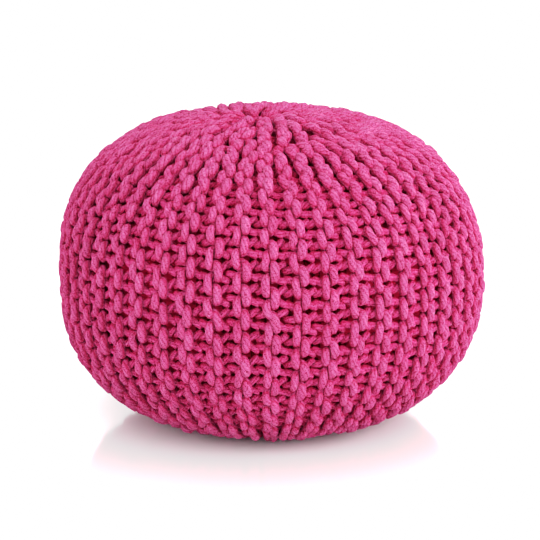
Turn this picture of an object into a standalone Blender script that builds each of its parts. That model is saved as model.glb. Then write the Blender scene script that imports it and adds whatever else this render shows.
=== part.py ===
# Round knitted pouf, resting on a floor. Metres, +Z up.
# The origin is at floor level, under the middle of the pouf's widest part.

import math

import bmesh
import bpy

# The turned form, measured over the crests of the ribs
widestRadius = 0.250
upperHeight = 0.195
lowerHeight = 0.180
upperPowers = (2.69, 2.21)  # how square the crown is, across and upwards
lowerPowers = (2.68, 2.47)  # the same for the underside
settled = 0.0085  # how far the underside is pressed flat by its own weight
settleEase = 0.004  # the flat spot runs into the underside over this height

# The draw-in at the middle of the crown, where the knit is gathered, a little off centre
gatherDepth = 0.009
gatherRadius = 0.017
gatherShift = -0.012
gatherShiftReach = 0.170
shoulderLean = -0.0042  # the filling has settled a little to one side
shoulderLeanSpan = (0.165, 0.310)  # heights between which the lean sets in
baseLean = -0.0020  # and the underside bulges a little to the same side
baseLeanSpan = (0.020, 0.165)

# The ribs of the knit, which run from the underside to the middle of the crown
ribCount = 52
pointsPerRib = 4
ribDepth = 0.0075
ribDepthToPitch = 0.27  # where the ribs crowd together they are this deep at most
pairingSpan = (0.080, 0.130)  # distance from the middle over which ribs join in pairs
secondPairingSpan = (0.036, 0.056)
ringCount = 27
ringCrowding = 1.3  # over 1, the rings lie closer together on the crown
profileSteps = 1200
sharpAngle = math.radians(60.0)

pinkYarn = (0.610, 0.052, 0.195, 1.0)
yarnRoughness = 0.92


def smoothStep(low, high, value):
    t = min(max((value - low) / (high - low), 0.0), 1.0)
    return t * t * (3.0 - 2.0 * t)


def pressFlat(height):
    """Heights under the floor become zero, with a soft bend instead of a crease."""
    if height <= -settleEase:
        return 0.0
    if height >= settleEase:
        return height
    return (height + settleEase) ** 2 / (4.0 * settleEase)


def formPoint(angle):
    """Radius and height of the plain turned form at an angle from -90 to 90 degrees."""
    across, upward = upperPowers if angle > 0.0 else lowerPowers
    radius = widestRadius * max(math.cos(angle), 0.0) ** (2.0 / across)
    rise = abs(math.sin(angle)) ** (2.0 / upward)
    if angle > 0.0:
        height = lowerHeight + upperHeight * rise
    else:
        height = lowerHeight - lowerHeight * rise
    drawnIn = 0.0
    if angle > 0.0:
        drawnIn = gatherDepth * math.exp(-((radius / gatherRadius) ** 2))
    return radius, pressFlat(height - settled) - drawnIn


def profileLine():
    """Rows of (distance along the profile, radius, height), from the flat spot's rim to the crown."""
    rows = []
    for step in range(profileSteps + 1):
        angle = math.pi * (step / profileSteps - 0.5)
        radius, height = formPoint(angle)
        if height > 0.0:
            if rows:
                run = math.hypot(radius - rows[-1][1], height - rows[-1][2])
                rows.append((rows[-1][0] + run, radius, height))
            else:
                rows.append((0.0, radius, 0.0))
    return rows


def pointAlong(rows, distance):
    """The profile's radius and height at a distance from the flat spot's rim, and its outward slope."""
    for before, after in zip(rows, rows[1:]):
        if after[0] >= distance:
            break
    share = min(max((distance - before[0]) / (after[0] - before[0]), 0.0), 1.0)
    radius = before[1] + share * (after[1] - before[1])
    height = before[2] + share * (after[2] - before[2])
    length = after[0] - before[0]
    outward = (after[2] - before[2]) / length
    upward = -(after[1] - before[1]) / length
    return radius, height, outward, upward


def sidewaysShift(radius, height):
    """How far the form lies to the +X side of its middle, at a radius and height."""
    lean = shoulderLean * smoothStep(*shoulderLeanSpan, height)
    lean += baseLean * (1.0 - smoothStep(*baseLeanSpan, height))
    if height > shoulderLeanSpan[1]:
        lean += gatherShift * (1.0 - smoothStep(0.0, gatherShiftReach, radius))
    return lean


def ribDrop(radius, fromMiddle, turn):
    """How far the surface lies below the crests, at a turn round the pouf."""
    paired = 1.0 - smoothStep(*pairingSpan, fromMiddle)
    pairedAgain = 1.0 - smoothStep(*secondPairingSpan, fromMiddle)
    shares = (1.0 - paired, paired * (1.0 - pairedAgain), paired * pairedAgain)
    drop = 0.0
    for halvings, share in enumerate(shares):
        count = ribCount // 2 ** halvings
        pitch = 2.0 * math.pi * radius / count
        depth = min(ribDepth, ribDepthToPitch * pitch)
        drop += share * depth * (0.5 - 0.5 * math.cos(count * turn))
    return drop


def yarnMaterial():
    material = bpy.data.materials.new("pink_yarn")
    material.use_nodes = True
    shader = material.node_tree.nodes["Principled BSDF"]
    shader.inputs["Base Color"].default_value = pinkYarn
    shader.inputs["Roughness"].default_value = yarnRoughness
    shader.inputs["Metallic"].default_value = 0.0
    material.diffuse_color = pinkYarn
    return material


def makePouf(collection):
    """A sphere whose rings are laid on the pouf's profile, with the ribs raised in its points."""
    rows = profileLine()
    length = rows[-1][0]
    shape = bmesh.new()
    bmesh.ops.create_uvsphere(
        shape,
        u_segments=ribCount * pointsPerRib,
        v_segments=ringCount + 1,
        radius=1.0,
    )
    for point in shape.verts:
        latitude = math.asin(max(-1.0, min(1.0, point.co.z)))
        ring = round((latitude / math.pi + 0.5) * (ringCount + 1))
        if ring == 0:
            point.co = (0.0, 0.0, 0.0)
            continue
        toMiddle = 1.0 - (ring - 1) / ringCount
        distance = length * (1.0 - toMiddle ** ringCrowding)
        radius, height, outward, upward = pointAlong(rows, distance)
        shift = sidewaysShift(radius, height)
        if ring == ringCount + 1:
            point.co = (shift, 0.0, height)
            continue
        turn = math.atan2(point.co.y, point.co.x)
        # the flat spot's rim has no ribs, so that it rests all round
        drop = 0.0 if ring == 1 else ribDrop(radius, length - distance, turn)
        reach = radius - drop * outward
        rise = max(height - drop * upward, 0.0)
        point.co = (reach * math.cos(turn) + shift, reach * math.sin(turn), rise)
    mesh = bpy.data.meshes.new("knitted_pouf")
    shape.to_mesh(mesh)
    shape.free()
    mesh.shade_smooth()
    mesh.set_sharp_from_angle(angle=sharpAngle)
    mesh.materials.append(yarnMaterial())
    pouf = bpy.data.objects.new("knitted_pouf", mesh)
    collection.objects.link(pouf)
    return pouf


def clearScene():
    for thing in list(bpy.data.objects):
        bpy.data.objects.remove(thing, do_unlink=True)


def main():
    clearScene()
    collection = bpy.data.collections.new("round_pouf")
    bpy.context.scene.collection.children.link(collection)
    makePouf(collection)


main()
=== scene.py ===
import math

import bmesh
import bpy
import numpy as np
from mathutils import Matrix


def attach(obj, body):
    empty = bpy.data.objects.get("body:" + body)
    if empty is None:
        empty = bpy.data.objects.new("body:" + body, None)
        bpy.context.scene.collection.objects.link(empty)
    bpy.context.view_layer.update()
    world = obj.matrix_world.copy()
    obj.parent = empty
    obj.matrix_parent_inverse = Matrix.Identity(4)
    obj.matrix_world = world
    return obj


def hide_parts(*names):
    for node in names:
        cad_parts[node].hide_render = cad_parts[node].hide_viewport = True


# Round pouf knitted of thick pink cotton cord, on a pale studio floor. Metres, +Z up.
# The knit is laid round the pouf as real courses: each cord runs from the gather under the
# pouf to the one on its crown, and hooks into the cords on both sides of it.

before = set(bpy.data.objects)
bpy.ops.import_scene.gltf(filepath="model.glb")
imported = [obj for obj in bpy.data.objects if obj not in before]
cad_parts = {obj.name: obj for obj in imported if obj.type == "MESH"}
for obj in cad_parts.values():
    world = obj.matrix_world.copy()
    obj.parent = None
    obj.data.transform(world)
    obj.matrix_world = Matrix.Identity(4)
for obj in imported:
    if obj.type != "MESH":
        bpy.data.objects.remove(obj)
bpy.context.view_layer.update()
print("frame loaded")


def smoothStep(low, high, value):
    t = np.clip((value - low) / (high - low), 0.0, 1.0)
    return t * t * (3.0 - 2.0 * t)


# outer form over the crests of the ribs: the solid's own, but here the ribs meet nearer the
# front, and a slight hollow lies beside the gather
poufForm = {
    "radius": 0.250,
    "upperHeight": 0.195,
    "lowerHeight": 0.180,
    "upperPowers": (2.69, 2.21),  # squareness across, squareness upwards
    "lowerPowers": (2.68, 2.47),
    "settled": 0.0085,  # pressed flat underneath by this much
    "settleEase": 0.004,
    "gatherDepth": 0.009,
    "gatherRadius": 0.017,
    "gatherShift": -0.012,  # the crown's gather sits off centre
    "gatherShiftReach": 0.170,
    "gatherForward": 0.056,  # and nearer the front than the crown's highest spot
    "gatherAside": -0.006,
    "gatherForwardReach": 0.310,
    "hollowPlace": (-0.072, 0.010),  # left of the crown's middle
    "hollowReach": 0.055,
    "hollowDepth": 0.0035,
    "shoulderLean": -0.0042,
    "shoulderLeanSpan": (0.165, 0.310),
    "baseLean": -0.0020,
    "baseLeanSpan": (0.020, 0.165),
    "steps": 4000,
}


def makeProfile(form):
    # rows from the middle of the underside to the middle of the crown
    angle = np.linspace(-0.5 * math.pi, 0.5 * math.pi, form["steps"] + 1)
    top = angle > 0.0
    across = np.where(top, form["upperPowers"][0], form["lowerPowers"][0])
    upward = np.where(top, form["upperPowers"][1], form["lowerPowers"][1])
    radius = form["radius"] * np.clip(np.cos(angle), 0.0, 1.0) ** (2.0 / across)
    rise = np.abs(np.sin(angle)) ** (2.0 / upward)
    reach = np.where(top, form["upperHeight"], -form["lowerHeight"])
    height = form["lowerHeight"] + reach * rise - form["settled"]
    ease = form["settleEase"]
    bent = (height + ease) ** 2 / (4.0 * ease)
    height = np.where(height <= -ease, 0.0, np.where(height < ease, bent, height))
    steps = np.hypot(np.diff(radius), np.diff(height))
    along = np.concatenate([[0.0], np.cumsum(steps)])
    outward = np.gradient(height, along)
    upwards = -np.gradient(radius, along)
    size = np.hypot(outward, upwards)
    return {
        "along": along,
        "radius": radius,
        "height": height,
        "outward": outward / size,
        "upwards": upwards / size,
        "length": along[-1],
    }


profile = makeProfile(poufForm)


def onProfile(name, along):
    return np.interp(along, profile["along"], profile[name])


def sidewaysShift(form, radius, height):
    lean = form["shoulderLean"] * smoothStep(*form["shoulderLeanSpan"], height)
    lean = lean + form["baseLean"] * (1.0 - smoothStep(*form["baseLeanSpan"], height))
    near = 1.0 - smoothStep(0.0, form["gatherShiftReach"], radius)
    return lean + form["gatherShift"] * near * (height > form["shoulderLeanSpan"][1])


def towardsGather(form, along, turn):
    # the ribs meet in front of the crown's middle: slides the knit forward, over the same form
    toMiddle = profile["length"] - along
    near = 1.0 - smoothStep(0.0, form["gatherForwardReach"], toMiddle)
    sideways = toMiddle * np.cos(turn) + form["gatherAside"] * near
    backwards = toMiddle * np.sin(turn) - form["gatherForward"] * near
    return profile["length"] - np.hypot(sideways, backwards), np.arctan2(backwards, sideways)


def layOnForm(form, along, turn, out):
    # a place on the pouf: distance up a rib, turn round the pouf, distance out from the crests
    toMiddle = profile["length"] - along
    out = out - form["gatherDepth"] * np.exp(-((toMiddle / form["gatherRadius"]) ** 2))
    along, turn = towardsGather(form, along, turn)
    radius = onProfile("radius", along)
    height = onProfile("height", along)
    reach = radius + onProfile("outward", along) * out
    rise = height + onProfile("upwards", along) * out
    x = reach * np.cos(turn) + sidewaysShift(form, radius, height)
    y = reach * np.sin(turn)
    hollowX, hollowY = form["hollowPlace"]
    fromHollow = ((x - hollowX) ** 2 + (y - hollowY) ** 2) / form["hollowReach"] ** 2
    onTop = height > form["shoulderLeanSpan"][1]
    z = rise - form["hollowDepth"] * np.exp(-fromHollow) * onTop
    return np.stack([x, y, z], axis=-1)


def outwardAt(form, along, turn):
    along, turn = towardsGather(form, along, turn)
    outward, upwards = onProfile("outward", along), onProfile("upwards", along)
    return np.stack([outward * np.cos(turn), outward * np.sin(turn), upwards], axis=-1)


def softNoise(draw, spots, waves=4, slowest=0.7, quicker=0.83, fading=0.5):
    # a smooth seeded wobble of about -1 to 1
    total = np.zeros_like(spots)
    for wave in range(waves):
        pace = slowest * (1.0 + quicker * wave)
        total += np.sin(2.0 * math.pi * (pace * spots + draw.uniform())) / (1.0 + fading * wave)
    return total / math.sqrt(waves)


# garter knit: every rib is two columns of bars, hooked round each other
knit = {
    "seed": 41,
    "ribs": 52,
    "stitches": 26,
    "thick": 0.0084,
    "firstStitch": 0.008,  # where the first stitch lies, along the form
    "longerBy": 0.10,  # stitches are drawn longer towards the gathers
    "longerSpan": (0.05, 0.19),  # at these distances from halfway up the form
    "barSide": 0.0042,  # a rib's bars lie this far to each side of its middle
    # and at most this share of half a rib's width, on the lower half and on the crown
    "barSideShare": (0.42, 0.28),
    "crownSpan": (0.30, 0.50),  # the crown's share sets in between these distances up a rib
    "lowerCrowding": 0.4,  # how much of the crowding below shows on the lower half
    "frontRise": 0.93,  # a front bar's height over the knit's middle, in cord thicknesses
    "squeezedRise": 0.30,  # more of that where ribs crowd together
    "squeezeSpan": (0.006, 0.012),
    # half of each bar, from its middle to the leg that it turns into:
    # (across in bar sides, along in stitches, height in cord thicknesses, girth)
    "frontLeft": [
        (-1.08, 0.000, 0.91, 1.05),
        (-1.02, 0.240, 0.86, 1.03),
        (-0.58, 0.345, 0.42, 0.92),
        (1.00, 0.398, -0.06, 0.82),
    ],
    "frontRight": [
        (1.10, 0.000, 0.93, 1.14),
        (1.03, 0.215, 0.88, 1.12),
        (0.60, 0.312, 0.46, 0.96),
        (-0.80, 0.322, -0.08, 0.92),
    ],
    "backLeft": [
        (-1.15, 0.000, -0.90, 1.00),
        (-0.95, 0.200, -0.72, 0.98),
        (-0.20, 0.335, -0.26, 0.96),
        (1.00, 0.285, 0.32, 1.04),
    ],
    "backRight": [
        (1.15, 0.000, -1.00, 1.00),
        (1.00, 0.200, -0.72, 1.00),
        (0.25, 0.368, 0.06, 1.02),
        (-1.00, 0.262, 0.30, 1.00),
    ],
    "legRise": 0.22,
    "legGirth": 1.02,
    "crowdSpan": (0.0085, 0.0145),  # half a rib's width at which the ribs count as crowded
    "crowdLonger": [0.0, 0.02, 0.04, 0.02, 0.0],  # crowded bars are longer, point by point
    "crowdDeeper": 0.30,
    "crowdGirth": 0.22,
    "crowdLegs": 0.16,  # thinner legs where the ribs crowd together
    "crowdJitter": 0.8,  # more of the jitter there
    "barLean": -0.03,
    "leanJitter": 0.07,
    "barJitter": (0.0009, 0.0012, 0.0006),  # across, along, out
    "barHolds": [1.0, 1.0, 0.7, 0.35, 0.0],  # how much of it each point from the middle takes
    "legJitter": 0.0011,
    "girthNoise": 0.07,
    "ribWidthNoise": 0.05,
    "ribDrift": 0.0022,
    "rowWaves": [(2.0, 0.6, 0.0030), (3.0, 0.0, 0.0018)],  # times round the pouf, phase, size
    "rowTilt": 0.005,
    "driftFade": 0.12,  # rows stop drifting over this distance from the gathers
    "roomyHalfRib": 0.012,  # narrower ribs than this leave less room for jitter
    "endMargin": 0.0005,
    "leastRadius": 0.002,
    # ribs sink under their neighbours towards the gathers: (every, from, distance, spread)
    "sinking": [
        (2, 1, 0.106, 0.016),
        (4, 2, 0.055, 0.008),
        (8, 4, 0.032, 0.004),
        (8, 0, 0.012, 0.001),
    ],
    "sinkingBelow": 0.8,  # of those distances, on the underside
    "sinkRun": (0.014, 0.026),
    "sinkDepth": 0.026,
    "narrowRun": 0.022,
    "narrowing": 0.97,  # a sunken rib gives up this share of its width
    "tailRun": 0.030,
    "turnSteps": 300,
    "stretchSteps": 600,
    "sides": 8,
    "lay": -0.045,  # length of cord in which its plies turn once, laid the S way
    # where rings of points lie along half a stitch that shows, and along one that doesn't
    "frontRings": [-4.0, -3.25, -2.6, -2.0, -1.4, -0.7, 0.0, 0.7, 1.4, 2.0, 2.6, 3.25],
    "backRings": [4.0, 5.6, 7.2, 8.8, 10.4],
    "floorGap": 0.0003,
    "flatSpacing": 1.12,  # strips of the flat map lie this many girths apart
    "flatMargin": 0.012,
    "pieces": 8,
}

# a stitch's cord goes through this many points: front bar, leg, back loop, leg
pointsPerStitch = 16
barToBar = pointsPerStitch // 2
firstLeg, secondLeg = slice(3, 6), slice(11, 14)


def sinkingDistances(plan, draw):
    distances = np.zeros(plan["ribs"])
    for every, first, distance, spread in plan["sinking"]:
        chosen = np.arange(first, plan["ribs"], every)
        distances[chosen] = distance + spread * draw.uniform(-1.0, 1.0, len(chosen))
    return distances


def ribTurns(plan, draw, sunkBelow, sunkAbove):
    # turns of the lines between half ribs, for a row of distances along the form
    along = np.linspace(0.0, profile["length"], plan["turnSteps"])
    widths = np.ones((plan["ribs"], len(along)))
    run = plan["narrowRun"]
    for rib in range(plan["ribs"]):
        widths[rib] += plan["ribWidthNoise"] * softNoise(draw, along / profile["length"])
        for gone in (along - (profile["length"] - sunkAbove[rib]), sunkBelow[rib] - along):
            widths[rib] *= 1.0 - plan["narrowing"] * smoothStep(-run, run, gone)
    edges = np.concatenate([np.zeros((1, len(along))), np.cumsum(widths, axis=0)])
    edges *= 2.0 * math.pi / edges[-1]
    lines = np.empty((2 * plan["ribs"] + 1, len(along)))
    lines[0::2] = edges
    lines[1::2] = 0.5 * (edges[:-1] + edges[1:])
    # the first rib's middle faces the camera, halfway up
    halfway = len(along) // 2
    return along, lines - lines[1, halfway] - 0.5 * math.pi


def stretchTable(plan):
    # distances up a rib where evenly spaced stitches lie, when those near the gathers are longer
    along = np.linspace(0.0, profile["length"], plan["stretchSteps"])
    fromHalfway = np.abs(along - 0.5 * profile["length"])
    longer = 1.0 + plan["longerBy"] * smoothStep(*plan["longerSpan"], fromHalfway)
    steps = np.diff(along) / (0.5 * (longer[1:] + longer[:-1]))
    return np.concatenate([[0.0], np.cumsum(steps)]), along


def makePace(plan, draw):
    # how far one rib's stitches run ahead of its neighbours', along its length
    phases = draw.uniform(0.0, 2.0 * math.pi, 3)
    still = draw.uniform(-1.0, 1.0)

    def pace(along):
        share = along / profile["length"]
        wobble = 0.5 * np.sin(7.0 * share + phases[0]) + 0.35 * np.sin(15.0 * share + phases[1])
        return plan["ribDrift"] * (wobble + 0.5 * still)

    return pace


def layOut(plan, draw):
    # what all the courses share: where ribs sink, the lines between them, stretch and pace
    sunkAbove = sinkingDistances(plan, draw)
    sunkBelow = plan["sinkingBelow"] * sinkingDistances(plan, draw)
    turnsAlong, lines = ribTurns(plan, draw, sunkBelow, sunkAbove)
    even, stretched = stretchTable(plan)
    return {
        "sunkAbove": sunkAbove,
        "sunkBelow": sunkBelow,
        "turnsAlong": turnsAlong,
        "lines": lines,
        "even": even,
        "stretched": stretched,
        "paces": [makePace(plan, draw) for rib in range(plan["ribs"])],
    }


def lineTurnAt(layout, line, along):
    return np.interp(along, layout["turnsAlong"], layout["lines"][line])


def halfRibWidth(layout, course, along):
    turned = lineTurnAt(layout, course + 1, along) - lineTurnAt(layout, course, along)
    return onProfile("radius", along) * turned


def stitchTable(plan, frontIsFirst):
    # the points of a whole stitch, from the middle of one bar over the other and back:
    # across in bar sides, across in half ribs, along in stitches, height, girth
    first, second = ("frontLeft", "backRight") if frontIsFirst else ("backLeft", "frontRight")
    half = [(side, 0.0, along, rise, girth) for side, along, rise, girth in plan[first]]
    legAlong = 0.5 * (plan[first][-1][1] + 0.5 - plan[second][-1][1])
    half.append((0.0, 0.5, legAlong, plan["legRise"], plan["legGirth"]))
    for side, along, rise, girth in plan[second][::-1]:
        half.append((side, 1.0, 0.5 - along, rise, girth))
    back = [(row[0], row[1], 1.0 - row[2], row[3], row[4]) for row in half[-2:0:-1]]
    return np.array(half + back).T


def driftAlong(plan, layout, course, along):
    # rows drift a little round the pouf, and each rib has its own pace
    lineTurn = lineTurnAt(layout, course, along)
    drift = layout["paces"][course // 2](along) - plan["rowTilt"] * np.cos(lineTurn)
    for times, phase, size in plan["rowWaves"]:
        drift = drift + size * np.sin(times * lineTurn + phase)
    fade = smoothStep(0.0, plan["driftFade"], along)
    return drift * fade * smoothStep(0.0, plan["driftFade"], profile["length"] - along)


def insideEnds(plan, along):
    return np.clip(along, plan["endMargin"], profile["length"] - plan["endMargin"])


def courseRoute(plan, draw, layout, course):
    # the points that one course's cord goes through, stitch by stitch
    rib, count = course // 2, plan["stitches"]
    frontIsFirst = course % 2 == 1
    frontBar = 0 if frontIsFirst else barToBar
    sides, ribShares, alongShares, rises, girths = stitchTable(plan, frontIsFirst)
    pitch = (layout["even"][-1] - 2.0 * plan["firstStitch"]) / (count - 0.5)
    starts = plan["firstStitch"] + pitch * np.arange(count)
    along = np.interp(
        starts[:, None] + pitch * alongShares, layout["even"], layout["stretched"]
    )
    along += driftAlong(plan, layout, course, along)

    # small differences from stitch to stitch, on the bar that shows and on the legs
    apart = np.abs((np.arange(pointsPerStitch) - frontBar + barToBar) % pointsPerStitch - barToBar)
    held = np.interp(apart, range(5), plan["barHolds"])
    nearBar = halfRibWidth(layout, course, along[:, frontBar:frontBar + 1])
    looser = 1.0 + plan["crowdJitter"] * (1.0 - smoothStep(*plan["crowdSpan"], nearBar))
    jitter = draw.normal(size=(count, 3)) * np.array(plan["barJitter"]) * looser
    lean = plan["barLean"] + plan["leanJitter"] * draw.normal(size=(count, 1)) * looser
    along += jitter[:, 1:2] * held
    legJitter = draw.normal(size=(count, 2)) * plan["legJitter"]
    along[:, firstLeg] += legJitter[:, 0:1]
    along[:, secondLeg] += legJitter[:, 1:2]
    along = insideEnds(plan, along)

    # where ribs crowd together the bars are longer and fatter, and the valleys are deeper
    fromBar = (alongShares - alongShares[frontBar] + 0.5) % 1.0 - 0.5
    halfRib = halfRibWidth(layout, course, along)
    crowded = 1.0 - smoothStep(*plan["crowdSpan"], halfRib)
    longer = np.interp(apart, range(5), plan["crowdLonger"]) * np.sign(fromBar)
    along = insideEnds(plan, along + pitch * crowded * longer)
    halfRib = halfRibWidth(layout, course, along)
    onCrown = smoothStep(*plan["crownSpan"], along)
    crowded = crowded * (plan["lowerCrowding"] + (1.0 - plan["lowerCrowding"]) * onCrown)
    squeezed = 1.0 + plan["squeezedRise"] * (1.0 - smoothStep(*plan["squeezeSpan"], halfRib))
    deeper = plan["crowdDeeper"] * crowded * np.interp(apart, [2, 4], [0.0, 1.0])
    fatter = 1.0 + (plan["crowdGirth"] * held - plan["crowdLegs"] * (1.0 - held)) * crowded

    # across the rib
    lowShare, crownShare = plan["barSideShare"]
    barSide = np.minimum(plan["barSide"], (lowShare + (crownShare - lowShare) * onCrown) * halfRib)
    room = np.minimum(1.0, halfRib / plan["roomyHalfRib"])
    across = sides * barSide + ribShares * halfRib
    across += (np.where(apart <= 2, lean * pitch * fromBar, 0.0) + jitter[:, 0:1] * held) * room

    # out from the form, with the ribs that end sinking under their neighbours
    toCrown = along - (profile["length"] - layout["sunkAbove"][rib])
    toBase = layout["sunkBelow"][rib] - along
    early, late = plan["sinkRun"]
    sunk = np.maximum(smoothStep(-early, late, toCrown), smoothStep(-early, late, toBase))
    out = plan["thick"] * (rises * squeezed - deeper) + jitter[:, 2:3] * held
    out -= 0.5 * plan["thick"] * plan["crowdGirth"] * crowded * held
    out -= plan["thick"] * (plan["frontRise"] * squeezed + 0.5) + plan["sinkDepth"] * sunk

    turn = lineTurnAt(layout, course, along)
    turned = turn + across / np.maximum(onProfile("radius", along), plan["leastRadius"])
    uneven = 1.0 + plan["girthNoise"] * draw.uniform(-1.0, 1.0, (count, 1)) * held
    shade = np.repeat(draw.uniform(0.0, 1.0, (count, 1)), pointsPerStitch, axis=1)
    return {
        "places": layOnForm(poufForm, along, turned, out).reshape(-1, 3),
        "normals": outwardAt(poufForm, along, turn).reshape(-1, 3),
        "out": out.ravel(),
        "girth": (girths * fatter * uneven).ravel(),
        "kept": ((toCrown < plan["tailRun"]) & (toBase < plan["tailRun"])).ravel(),
        "shade": shade.ravel(),
    }


def alongCurve(values, spots):
    # smooth curve through the values, read at fractional positions
    last = len(values) - 1
    base = np.clip(np.floor(spots).astype(int), 0, last - 1)
    t = spots - base
    if values.ndim > 1:
        t = t[:, None]
    before = values[np.clip(base - 1, 0, last)]
    here = values[base]
    after = values[np.clip(base + 1, 0, last)]
    beyond = values[np.clip(base + 2, 0, last)]
    bend = 2.0 * before - 5.0 * here + 4.0 * after - beyond
    swing = 3.0 * (here - after) + beyond - before
    return 0.5 * (2.0 * here + (after - before) * t + bend * t ** 2 + swing * t ** 3)


def unit(vectors):
    return vectors / np.maximum(np.linalg.norm(vectors, axis=-1, keepdims=True), 1e-9)


def cordTube(plan, places, girth, normals, out):
    # rings of points round the cord, which turn with its plies
    sides = plan["sides"]
    tangents = unit(np.gradient(places, axis=0))
    steps = np.linalg.norm(np.diff(places, axis=0), axis=1)
    run = np.concatenate([[0.0], np.cumsum(steps)])
    side = np.empty_like(places)
    start = np.array([0.0, 0.0, 1.0])
    if abs(tangents[0] @ start) > 0.9:
        start = np.array([1.0, 0.0, 0.0])
    for ring, tangent in enumerate(tangents):
        start = start - (start @ tangent) * tangent
        start = start / np.linalg.norm(start)
        side[ring] = start
    other = np.cross(tangents, side)
    spin = 2.0 * math.pi * (np.arange(sides) / sides + run[:, None] / plan["lay"])
    offsets = 0.5 * plan["thick"] * girth[:, None, None] * (
        np.cos(spin)[..., None] * side[:, None, :] + np.sin(spin)[..., None] * other[:, None, :]
    )
    depth = -out[:, None] - np.einsum("rsk,rk->rs", offsets, normals)
    return places[:, None, :] + offsets, run, depth


def knitCourses(plan):
    draw = np.random.default_rng(plan["seed"])
    layout = layOut(plan, draw)
    stitchStarts = pointsPerStitch * np.arange(plan["stitches"])[:, None]
    tubes = []
    for course in range(2 * plan["ribs"]):
        route = courseRoute(plan, draw, layout, course)
        frontBar = 0 if course % 2 == 1 else barToBar
        rings = np.array(plan["frontRings"] + plan["backRings"]) + frontBar
        spots = (stitchStarts + rings).ravel()
        spots = spots[(spots >= 0.0) & (spots <= len(route["places"]) - 1)]
        nearest = np.round(spots).astype(int)
        kept = route["kept"][nearest]
        spots, nearest = spots[kept], nearest[kept]
        smooth = {
            name: alongCurve(route[name], spots)
            for name in ("places", "girth", "normals", "out")
        }
        points, run, depth = cordTube(plan, **smooth)
        tubes.append({
            "points": points,
            "run": run,
            "stitchShade": np.repeat(route["shade"][nearest], plan["sides"]),
            "knitDepth": depth.ravel(),
        })
    return tubes


def tubeSkin(plan, tubes):
    # faces of several cords, a map along each cord and a flat map for baking
    sides = plan["sides"]
    girthRun = math.pi * plan["thick"]
    stripStep = girthRun * plan["flatSpacing"]
    rowRun = math.sqrt(sum(tube["run"][-1] for tube in tubes) * stripStep)
    faces, ends, cordMap, flatMap = [], [], [], []
    base, rowsDone = 0, 0
    for tube in tubes:
        run, count = tube["run"], len(tube["points"])
        ring, spot = np.meshgrid(np.arange(count - 1), np.arange(sides), indexing="ij")
        ring, spot = ring.ravel(), spot.ravel()
        after = (spot + 1) % sides
        here, beyond = base + ring * sides, base + (ring + 1) * sides
        faces.append(np.stack([here + spot, here + after, beyond + after, beyond + spot], axis=1))
        ends.append(base + np.arange(sides)[::-1])
        ends.append(base + (count - 1) * sides + np.arange(sides))
        around = np.stack([spot, spot + 1, spot + 1, spot], axis=1) / sides
        length = np.stack([run[ring], run[ring], run[ring + 1], run[ring + 1]], axis=1)
        cordMap.append(np.stack([around, length], axis=-1))
        row = np.floor(run[ring] / rowRun)[:, None]
        flatX = (length - row * rowRun) / (rowRun + plan["flatMargin"])
        flatY = (rowsDone + row) * stripStep + around * girthRun
        flatMap.append(np.stack([flatX, flatY], axis=-1))
        rowsDone += int(run[-1] // rowRun) + 1
        base += count * sides
    flatMap = np.concatenate(flatMap).reshape(-1, 2)
    flatMap[:, 1] /= rowsDone * stripStep
    maps = {"cord": np.concatenate(cordMap).reshape(-1, 2), "OFBake": flatMap}
    return np.concatenate(faces), np.array(ends), maps


def tubeMesh(plan, name, tubes):
    points = np.concatenate([tube["points"].reshape(-1, 3) for tube in tubes])
    points[:, 2] = np.maximum(points[:, 2], plan["floorGap"])
    faces, ends, maps = tubeSkin(plan, tubes)
    mesh = bpy.data.meshes.new(name)
    mesh.vertices.add(len(points))
    mesh.vertices.foreach_set("co", points.astype(np.float32).ravel())
    loops = np.concatenate([faces.ravel(), ends.ravel()])
    mesh.loops.add(len(loops))
    mesh.loops.foreach_set("vertex_index", loops.astype(np.int32))
    totals = np.concatenate([np.full(len(faces), 4), np.full(len(ends), plan["sides"])])
    starts = np.concatenate([[0], np.cumsum(totals)[:-1]])
    mesh.polygons.add(len(totals))
    mesh.polygons.foreach_set("loop_start", starts.astype(np.int32))
    mesh.polygons.foreach_set("loop_total", totals.astype(np.int32))
    for mapName, spots in maps.items():
        layer = mesh.uv_layers.new(name=mapName)
        full = np.zeros((len(loops), 2), np.float32)
        full[:len(spots)] = spots
        layer.uv.foreach_set("vector", full.ravel())
    mesh.uv_layers["cord"].active_render = True
    for valueName in ("stitchShade", "knitDepth"):
        layer = mesh.attributes.new(valueName, "FLOAT", "POINT")
        value = np.concatenate([tube[valueName] for tube in tubes])
        layer.data.foreach_set("value", value.astype(np.float32))
    mesh.update()
    mesh.validate()
    mesh.shade_smooth()
    return mesh


def newObject(name, data):
    thing = bpy.data.objects.new(name, data)
    bpy.context.scene.collection.objects.link(thing)
    return thing


# the cloth-covered filling, which shows dark between the stitches
filling = {
    "around": 128,
    "rings": 56,
    "depth": 0.0240,  # under the crests
    "endGap": 0.02,  # it starts and ends this far along the form from the gathers
    "dimple": 0.0012,
    "dimplesAround": 26,
    "dimplesPerMetre": 90.0,  # in radians
    "poleShare": 0.001,
}


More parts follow.
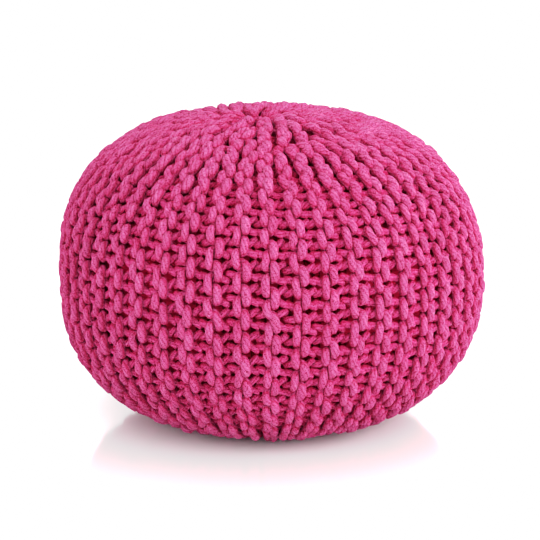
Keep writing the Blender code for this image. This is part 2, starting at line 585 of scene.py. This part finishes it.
def makeFilling(plan):
    shape = bmesh.new()
    bmesh.ops.create_uvsphere(
        shape, u_segments=plan["around"], v_segments=plan["rings"], radius=1.0
    )
    start, end = plan["endGap"], profile["length"] - plan["endGap"]
    for point in shape.verts:
        share = math.asin(max(-1.0, min(1.0, point.co.z))) / math.pi + 0.5
        turn = math.atan2(point.co.y, point.co.x)
        along = start + (end - start) * share
        dimple = math.sin(plan["dimplesAround"] * turn) * math.sin(plan["dimplesPerMetre"] * along)
        depth = plan["depth"] + plan["dimple"] * dimple
        place = layOnForm(poufForm, np.array(along), np.array(turn), -depth)
        if min(share, 1.0 - share) < plan["poleShare"]:
            place[0] = sidewaysShift(poufForm, 0.0, place[2])
            place[1] = 0.0
        point.co = place
    mesh = bpy.data.meshes.new("filling")
    shape.to_mesh(mesh)
    shape.free()
    mesh.shade_smooth()
    return newObject("filling", mesh)


def addNode(tree, kind, **values):
    node = tree.nodes.new(kind)
    for name, value in values.items():
        setattr(node, name, value)
    return node


def mathNode(tree, operation, first, second=None, third=None):
    node = addNode(tree, "ShaderNodeMath", operation=operation)
    for slot, value in enumerate((first, second, third)):
        if value is None:
            continue
        if isinstance(value, (int, float)):
            node.inputs[slot].default_value = value
        else:
            tree.links.new(value, node.inputs[slot])
    return node.outputs[0]


def weighted(tree, *parts):
    # adds up (share, value) pairs
    total = None
    for share, value in parts:
        if total is None:
            total = mathNode(tree, "MULTIPLY", value, share)
        else:
            total = mathNode(tree, "MULTIPLY_ADD", value, share, total)
    return total


def mixColour(tree, share, first, second, blend="MIX"):
    node = addNode(tree, "ShaderNodeMix", data_type="RGBA", blend_type=blend)
    sockets = [socket for socket in node.inputs if socket.enabled]
    for socket, value in zip(sockets, (share, first, second)):
        if isinstance(value, (int, float, tuple)):
            socket.default_value = value
        else:
            tree.links.new(value, socket)
    return [socket for socket in node.outputs if socket.enabled][0]


def noiseAt(tree, vector, scale, detail):
    noise = addNode(tree, "ShaderNodeTexNoise")
    tree.links.new(vector, noise.inputs["Vector"])
    noise.inputs["Detail"].default_value = detail
    if isinstance(scale, (int, float)):
        noise.inputs["Scale"].default_value = scale
    else:
        tree.links.new(scale, noise.inputs["Scale"])
    return noise.outputs["Fac"]


def objectPlace(tree):
    return addNode(tree, "ShaderNodeTexCoord").outputs["Object"]


dyeMottle = {
    "finer": 9.0,  # the small blotches' scale, as times the broad ones'
    "broadDetail": 3.0,
    "smallDetail": 2.0,
}
white = (1.0, 1.0, 1.0, 1.0)


def mottleGroup(plan):
    # uneven dye and wear: a value of about 0 to 1 from two sizes of blotch
    group = bpy.data.node_groups.new("dyeMottle", "ShaderNodeTree")
    group.interface.new_socket("Vector", in_out="INPUT", socket_type="NodeSocketVector")
    group.interface.new_socket("Scale", in_out="INPUT", socket_type="NodeSocketFloat")
    group.interface.new_socket("Fine", in_out="INPUT", socket_type="NodeSocketFloat")
    group.interface.new_socket("Value", in_out="OUTPUT", socket_type="NodeSocketFloat")
    inside = addNode(group, "NodeGroupInput").outputs
    outside = addNode(group, "NodeGroupOutput").inputs
    smallScale = mathNode(group, "MULTIPLY", inside["Scale"], plan["finer"])
    broad = noiseAt(group, inside["Vector"], inside["Scale"], plan["broadDetail"])
    small = noiseAt(group, inside["Vector"], smallScale, plan["smallDetail"])
    difference = mathNode(group, "SUBTRACT", small, broad)
    mixed = mathNode(group, "MULTIPLY_ADD", difference, inside["Fine"], broad)
    group.links.new(mixed, outside["Value"])
    return group


def placeMottle(tree, mottle, scale, fine):
    node = addNode(tree, "ShaderNodeGroup", node_tree=mottle)
    tree.links.new(objectPlace(tree), node.inputs["Vector"])
    node.inputs["Scale"].default_value = scale
    node.inputs["Fine"].default_value = fine
    return node.outputs["Value"]


def newMaterial(name):
    material = bpy.data.materials.new(name)
    material.use_nodes = True
    tree = material.node_tree
    return material, tree, tree.nodes["Principled BSDF"]


def linkBump(tree, shader, height, strength, distance):
    bump = addNode(tree, "ShaderNodeBump")
    bump.inputs["Strength"].default_value = strength
    bump.inputs["Distance"].default_value = distance
    tree.links.new(height, bump.inputs["Height"])
    tree.links.new(bump.outputs["Normal"], shader.inputs["Normal"])


cordLook = {
    # colour by depth under the crests, in millimetres, painted light and shade: paler crests as
    # painted highlight, a painted shade dip on bars' flanks, painted light on the legs, darker
    # painted shade deeper
    "paintedShadeByDepth": [
        (0.0, (0.420, 0.097, 0.206, 1.0)),
        (2.6, (0.435, 0.080, 0.183, 1.0)),
        (4.2, (0.370, 0.038, 0.108, 1.0)),
        (6.0, (0.470, 0.094, 0.218, 1.0)),
        (9.4, (0.450, 0.046, 0.140, 1.0)),
        (15.0, (0.280, 0.007, 0.030, 1.0)),
    ],
    "fleckDark": (0.76, 0.62, 0.68, 1.0),
    "fleckLight": (1.18, 1.36, 1.28, 1.0),
    "dyeMottle": (16.0, 0.5),  # scale, fineness
    "fleckMottle": (80.0, 1.0),
    # shares of light and dark: from stitch to stitch, dye, fibres, flecks, and less of all
    "fleckShares": (0.30, 0.8, 1.2, 1.6),
    "fleckLess": 1.45,
    "plies": 6,
    "plyRound": 0.75,  # under 1, narrow grooves between round plies
    "yarnsPerMetre": 330.0,
    "fibresAround": 30.0,
    "fibresPerMetre": 500.0,
    "fibreDetail": 3.0,
    # painted shade in the grooves between plies and yarns
    "grooveShade": (0.60, 0.34, 0.44, 1.0),
    "grooveShares": (0.80, 0.30),  # plies, yarns
    # painted shade in small pits between the fibres
    "pit": (0.50, 0.25, 0.34, 1.0),
    "pitScale": 780.0,
    "pitSpan": (0.52, 0.66),
    "bump": 0.7,
    "bumpHeight": 0.0008,
    "bumpShares": (0.3, 0.7, 0.6, 0.8),  # yarns, plies, fibres, flecks
    "roughness": 0.88,
    "rougherFibres": 0.1,
    "sheen": 0.02,
    "sheenTint": (1.0, 0.72, 0.86, 1.0),
    "sheenRoughness": 0.35,
    "specular": 0.02,
    "scatter": 0.4,
    "scatterRadius": (1.0, 0.20, 0.40),
    "scatterScale": 0.003,
}


def cordThreads(tree, look):
    # plies, yarns and loose fibres, laid along the cord's own map
    uv = addNode(tree, "ShaderNodeUVMap", uv_map="cord")
    split = addNode(tree, "ShaderNodeSeparateXYZ")
    tree.links.new(uv.outputs["UV"], split.inputs[0])
    around, length = split.outputs["X"], split.outputs["Y"]
    wave = mathNode(tree, "SINE", mathNode(tree, "MULTIPLY", around, math.pi * look["plies"]))
    ply = mathNode(tree, "POWER", mathNode(tree, "ABSOLUTE", wave), look["plyRound"])
    # the yarns in each ply turn the other way
    turned = weighted(tree, (look["plies"] * 2.0, around), (look["yarnsPerMetre"], length))
    yarn = mathNode(tree, "SINE", mathNode(tree, "MULTIPLY", turned, math.pi))
    stretch = addNode(tree, "ShaderNodeCombineXYZ")
    for axis, value, scale in (("X", around, "fibresAround"), ("Y", length, "fibresPerMetre")):
        tree.links.new(mathNode(tree, "MULTIPLY", value, look[scale]), stretch.inputs[axis])
    fibre = noiseAt(tree, stretch.outputs[0], 1.0, look["fibreDetail"])
    return ply, mathNode(tree, "ABSOLUTE", yarn), fibre


# painted light and shade: the cord's colour follows its depth under the crests
def paintedShadeColour(tree, look):
    depth = addNode(tree, "ShaderNodeAttribute", attribute_name="knitDepth")
    ramp = addNode(tree, "ShaderNodeValToRGB")
    deepest = look["paintedShadeByDepth"][-1][0]
    share = mathNode(tree, "MULTIPLY", depth.outputs["Fac"], 1000.0 / deepest)
    tree.links.new(share, ramp.inputs["Fac"])
    stops = ramp.color_ramp.elements
    for number, (millimetres, colour) in enumerate(look["paintedShadeByDepth"]):
        stop = stops[number] if number < 2 else stops.new(millimetres / deepest)
        stop.position = millimetres / deepest
        stop.color = colour
    return ramp.outputs["Color"]


def cordMaterial(look, mottle):
    material, tree, shader = newMaterial("pinkCottonCord")
    ply, yarn, fibre = cordThreads(tree, look)
    dye = placeMottle(tree, mottle, *look["dyeMottle"])
    fleck = placeMottle(tree, mottle, *look["fleckMottle"])
    shade = addNode(tree, "ShaderNodeAttribute", attribute_name="stitchShade").outputs["Fac"]
    lift = weighted(tree, *zip(look["fleckShares"], (shade, dye, fibre, fleck)))
    lift = mathNode(tree, "SUBTRACT", lift, look["fleckLess"])
    flecked = mixColour(tree, lift, look["fleckDark"], look["fleckLight"])
    # the painted light and shade by depth, times the flecks
    body = mixColour(tree, 1.0, paintedShadeColour(tree, look), flecked, "MULTIPLY")
    # painted shade: darker grooves between the plies and yarns
    filled = mathNode(tree, "MINIMUM", weighted(tree, *zip(look["grooveShares"], (ply, yarn))), 1.0)
    grooveShaded = mixColour(tree, filled, look["grooveShade"], white)
    body = mixColour(tree, 1.0, body, grooveShaded, "MULTIPLY")
    # painted shade: small dark pits between the fibres
    pitShare = addNode(tree, "ShaderNodeMapRange", interpolation_type="SMOOTHSTEP")
    pits = noiseAt(tree, objectPlace(tree), look["pitScale"], 1.0)
    tree.links.new(pits, pitShare.inputs["Value"])
    pitShare.inputs["From Min"].default_value = look["pitSpan"][0]
    pitShare.inputs["From Max"].default_value = look["pitSpan"][1]
    pitShaded = mixColour(tree, pitShare.outputs["Result"], white, look["pit"])
    tree.links.new(mixColour(tree, 1.0, body, pitShaded, "MULTIPLY"), shader.inputs["Base Color"])
    height = weighted(tree, *zip(look["bumpShares"], (yarn, ply, fibre, fleck)))
    linkBump(tree, shader, height, look["bump"], look["bumpHeight"])
    rough = mathNode(tree, "MULTIPLY_ADD", fibre, look["rougherFibres"], look["roughness"])
    tree.links.new(rough, shader.inputs["Roughness"])
    shader.inputs["Sheen Weight"].default_value = look["sheen"]
    shader.inputs["Sheen Tint"].default_value = look["sheenTint"]
    shader.inputs["Sheen Roughness"].default_value = look["sheenRoughness"]
    shader.inputs["Specular IOR Level"].default_value = look["specular"]
    shader.inputs["Subsurface Weight"].default_value = look["scatter"]
    shader.inputs["Subsurface Radius"].default_value = look["scatterRadius"]
    shader.inputs["Subsurface Scale"].default_value = look["scatterScale"]
    return material


fillingLook = {
    "light": (0.800, 0.030, 0.130, 1.0),
    "dark": (0.560, 0.018, 0.080, 1.0),
    "mottle": (30.0, 0.6),  # scale, fineness
    "weaveScale": 112.5,
    "weaveWobble": 1.5,
    "shares": (0.6, 0.4),  # of light and dark, from dye and weave
    "bump": 0.5,
    "bumpHeight": 0.0004,
    "roughness": 0.95,
    "specular": 0.05,
}


def fillingMaterial(look, mottle):
    material, tree, shader = newMaterial("fillingCloth")
    dye = placeMottle(tree, mottle, *look["mottle"])
    weave = addNode(tree, "ShaderNodeTexWave", wave_type="BANDS", bands_direction="Z")
    weave.inputs["Scale"].default_value = look["weaveScale"]
    weave.inputs["Distortion"].default_value = look["weaveWobble"]
    tree.links.new(objectPlace(tree), weave.inputs["Vector"])
    share = weighted(tree, *zip(look["shares"], (dye, weave.outputs["Fac"])))
    tree.links.new(mixColour(tree, share, look["dark"], look["light"]), shader.inputs["Base Color"])
    linkBump(tree, shader, weave.outputs["Fac"], look["bump"], look["bumpHeight"])
    shader.inputs["Roughness"].default_value = look["roughness"]
    shader.inputs["Specular IOR Level"].default_value = look["specular"]
    return material


studio = {
    "floorSize": 14.0,
    "floorCells": 8,
    "floorDrop": 0.0005,  # keeps the floor just clear of the pouf's flat spot
    "floorColour": (0.93, 0.93, 0.935, 1.0),
    "floorShade": (0.91, 0.91, 0.915, 1.0),
    "floorMottle": (2.0, 0.3),
    "floorRoughness": 0.13,
    "floorCoat": (1.0, 0.12, 1.5),  # gloss coat: weight, roughness, index
    "worldColour": white,
    "worldStrength": 1.20,
    "worldSlope": (0.24, 0.45),  # brighter towards +X, and behind the pouf
    # name: (place, aim, size, watts)
    "lamps": {
        "softRight": ((2.2, -1.5, 1.0), (0.0, 0.0, 0.15), 2.0, 84.0),
        "softFront": ((0.3, -2.4, 1.55), (0.0, 0.0, 0.15), 1.8, 43.0),
        "softLeft": ((-2.1, -1.6, 0.75), (0.0, 0.0, 0.12), 1.7, 37.0),
        "softTop": ((0.5, 1.3, 2.2), (0.0, 0.0, 0.30), 1.4, 20.0),
    },
    # light in the scene and in the picture: softer highlights and deeper shade
    "toneCurve": [
        (0.0, 0.0),
        (0.03, 0.014),
        (0.08, 0.052),
        (0.18, 0.170),
        (0.40, 0.46),
        (0.65, 0.72),
        (0.88, 0.850),
        (1.0, 1.0),
    ],
}


def makeFloor(plan, mottle):
    material, tree, shader = newMaterial("paleFloor")
    dye = placeMottle(tree, mottle, *plan["floorMottle"])
    colour = mixColour(tree, dye, plan["floorShade"], plan["floorColour"])
    tree.links.new(colour, shader.inputs["Base Color"])
    shader.inputs["Roughness"].default_value = plan["floorRoughness"]
    coatSockets = ("Coat Weight", "Coat Roughness", "Coat IOR")
    for socket, value in zip(coatSockets, plan["floorCoat"]):
        shader.inputs[socket].default_value = value
    cells = plan["floorCells"]
    shape = bmesh.new()
    bmesh.ops.create_grid(
        shape, x_segments=cells, y_segments=cells, size=plan["floorSize"] / 2.0
    )
    mesh = bpy.data.meshes.new("studioFloor")
    shape.to_mesh(mesh)
    shape.free()
    floor = newObject("studioFloor", mesh)
    floor.location.z = -plan["floorDrop"]
    mesh.materials.append(material)


def aimAt(thing, place, aim):
    thing.location = place
    direction = np.array(aim) - np.array(place)
    yaw = math.atan2(direction[1], direction[0]) - 0.5 * math.pi
    pitch = math.atan2(direction[2], math.hypot(direction[0], direction[1])) + 0.5 * math.pi
    thing.rotation_euler = (pitch, 0.0, yaw)


def lightStudio(plan):
    for name, (place, aim, size, watts) in plan["lamps"].items():
        lamp = bpy.data.lights.new(name, "AREA")
        lamp.shape = "SQUARE"
        lamp.size = size
        lamp.energy = watts
        aimAt(newObject(name, lamp), place, aim)
    world = bpy.data.worlds.new("studioWorld")
    world.use_nodes = True
    tree = world.node_tree
    back = tree.nodes["Background"]
    back.inputs["Color"].default_value = plan["worldColour"]
    coords = addNode(tree, "ShaderNodeTexCoord")
    split = addNode(tree, "ShaderNodeSeparateXYZ")
    tree.links.new(coords.outputs["Generated"], split.inputs[0])
    sideways, backwards = plan["worldSlope"]
    strength = mathNode(tree, "MULTIPLY_ADD", split.outputs["X"], sideways, plan["worldStrength"])
    strength = mathNode(tree, "MULTIPLY_ADD", split.outputs["Y"], backwards, strength)
    tree.links.new(strength, back.inputs["Strength"])
    bpy.context.scene.world = world


def setTones(tones):
    view = bpy.context.scene.view_settings
    view.view_transform = "Standard"
    view.use_curve_mapping = True
    mapping = view.curve_mapping
    mapping.clip_max_x = 2.0
    mapping.extend = "HORIZONTAL"
    curve = mapping.curves[3]  # the one for all three colours together
    curve.points[0].location = tones[0]
    curve.points[1].location = tones[-1]
    for tone in tones[1:-1]:
        curve.points.new(*tone)
    mapping.update()


cameraPlan = {
    "distance": 1.5,
    "elevation": 12.0,
    "about": (0.0, 0.0, 0.1815),
    "aim": (-0.0020, 0.0, 0.1705),
    "lens": 84.06,
    "sensor": 36.0,
}


def placeCamera(plan):
    camera = bpy.data.cameras.new("photoCamera")
    camera.lens = plan["lens"]
    camera.sensor_width = plan["sensor"]
    thing = newObject("photoCamera", camera)
    lift = math.radians(plan["elevation"])
    place = (
        plan["aim"][0],
        plan["about"][1] - plan["distance"] * math.cos(lift),
        plan["about"][2] + plan["distance"] * math.sin(lift),
    )
    aimAt(thing, place, plan["aim"])
    bpy.context.scene.camera = thing


mottle = mottleGroup(dyeMottle)
placeCamera(cameraPlan)
lightStudio(studio)
setTones(studio["toneCurve"])
makeFloor(studio, mottle)
print("camera, lights and floor placed")

cordCotton = cordMaterial(cordLook, mottle)
tubes = knitCourses(knit)
perPiece = len(tubes) // knit["pieces"]
for number in range(knit["pieces"]):
    name = "knit_panel_" + str(number + 1)
    courses = tubes[number * perPiece:(number + 1) * perPiece]
    panel = newObject(name, tubeMesh(knit, name, courses))
    panel.data.materials.append(cordCotton)
    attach(panel, "root")
    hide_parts("knitted_pouf")
print("knit laid round the pouf:", sum(len(tube["run"]) for tube in tubes), "rings")

ball = makeFilling(filling)
ball.data.materials.append(fillingMaterial(fillingLook, mottle))
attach(ball, "root")
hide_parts("knitted_pouf")
print("filling made")
